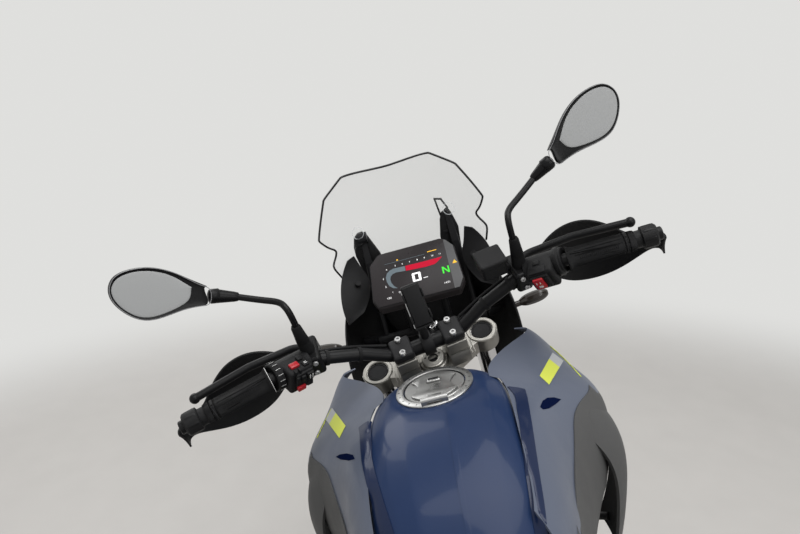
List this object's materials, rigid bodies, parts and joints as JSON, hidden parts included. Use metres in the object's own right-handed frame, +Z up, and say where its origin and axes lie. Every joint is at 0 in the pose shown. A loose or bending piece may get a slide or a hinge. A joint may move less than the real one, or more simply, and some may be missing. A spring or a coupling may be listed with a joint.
{
  "type": "adventure motorcycle",
  "caption": "Adventure motorcycle on its side stand, steering turned a little left, with turning wheels, steering, side stand and hinged fuel cap.",
  "frame": {"origin": "centre of the bounding box at ground level, parked on the side stand", "axes": "+Z up, +Y forward, +X to the rider's right; the machine leans 14 degrees to the left"},
  "size_m": [0.9021, 2.2456, 1.4444],
  "materials": {
    "tyre_rubber": "matt",
    "wheel_black": "satin",
    "disc_steel": "brushed",
    "clamp_champagne": "satin",
    "clamp_black": "satin",
    "stanchion_chrome": "polished",
    "cap_black": "satin",
    "slider_silver": "satin",
    "axle_steel": "plain",
    "caliper_black": "satin",
    "black_plastic": "matt",
    "dark_grey_plastic": "matt",
    "bar_black": "satin",
    "riser_champagne": "satin",
    "grip_rubber": "matt",
    "gloss_black": "gloss",
    "mirror_glass": "polished",
    "frame_black": "satin",
    "engine_alloy": "cast",
    "cover_alloy": "satin",
    "radiator_alloy": "matt",
    "exhaust_steel": "satin",
    "plate_alloy": "brushed",
    "chain_steel": "oiled",
    "sprocket_steel": "plain",
    "spring_white": "satin",
    "tank_blue": "gloss",
    "panel_grey_blue": "satin",
    "cap_silver": "satin",
    "seat_cover": "matt",
    "lamp_clear": "clear",
    "lamp_red": "gloss",
    "lamp_amber": "gloss",
    "screen_clear": "clear",
    "display_glass": "gloss",
    "stand_black": "satin"
  },
  "bodies": {
    "frame": {"chain": "chain_steel", "display": "display_glass", "engine_block": "engine_alloy", "engine_covers": "cover_alloy", "exhaust_header": "exhaust_steel", "footrests": "plate_alloy", "fuel_cap_ring": "cap_silver", "headlight": "lamp_clear", "indicators": "lamp_amber", "luggage_rack": "bar_black", "main_frame": "frame_black", "nose": "black_plastic", "nose_bracket": "frame_black", "pedals": "bar_black", "plate_holder": "black_plastic", "radiator": "radiator_alloy", "radiator_pads": "dark_grey_plastic", "rear_axle": "axle_steel", "rear_caliper": "caliper_black", "rear_shock": "spring_white", "rear_subframe": "frame_black", "seat": "seat_cover", "side_deflectors": "dark_grey_plastic", "silencer": "exhaust_steel", "skid_plate": "plate_alloy", "swingarm": "wheel_black", "tail_covers": "black_plastic", "tail_light": "lamp_red", "tank": "tank_blue", "tank_panels": "panel_grey_blue", "windscreen": "screen_clear"},
    "steering": {"upper_clamp": "clamp_champagne", "lower_clamp": "clamp_black", "fork_stanchions": "stanchion_chrome", "fork_caps": "cap_black", "fork_sliders": "slider_silver", "front_axle": "axle_steel", "front_calipers": "caliper_black", "front_mudguard": "black_plastic", "handlebar": "bar_black", "bar_risers": "riser_champagne", "grips": "grip_rubber", "switchgear": "black_plastic", "levers": "bar_black", "mirrors": "gloss_black", "mirror_glasses": "mirror_glass", "hand_guards": "black_plastic", "device_cradle": "black_plastic", "brake_reservoir": "black_plastic"},
    "front_wheel": {"front_tyre": "tyre_rubber", "front_rim": "wheel_black", "front_discs": "disc_steel"},
    "rear_wheel": {"rear_tyre": "tyre_rubber", "rear_rim": "wheel_black", "rear_disc": "disc_steel", "rear_sprocket": "sprocket_steel"},
    "side_stand": {"side_stand": "stand_black"},
    "fuel_lid": {"fuel_lid": "cap_silver"}
  },
  "joints": [
    {"name": "steering", "type": "hinge", "parent": "frame", "child": "steering", "pos_m": [0.03511, 0.39451, 0.97007], "axis": [-0.2156, -0.4519, 0.8657], "range_deg": [-46.3, 25.7]},
    {"name": "front_wheel", "type": "hinge", "parent": "steering", "child": "front_wheel", "pos_m": [0.18768, 0.79712, 0.31546], "axis": [0.935, 0.1601, 0.3164], "continuous": true},
    {"name": "rear_wheel", "type": "hinge", "parent": "frame", "child": "rear_wheel", "pos_m": [0.1994, -0.76108, 0.31398], "axis": [0.9703, 0.0006, 0.2419], "continuous": true},
    {"name": "side_stand", "type": "hinge", "parent": "frame", "child": "side_stand", "pos_m": [0.05645, 0.02815, 0.20333], "axis": [0.9744, -0.0006, -0.225], "range_deg": [-105, 0]},
    {"name": "fuel_lid", "type": "hinge", "parent": "frame", "child": "fuel_lid", "pos_m": [0.03003, 0.21108, 0.9909], "axis": [0.9703, 0.0006, 0.2419], "range_deg": [0, 95]}
  ]
}
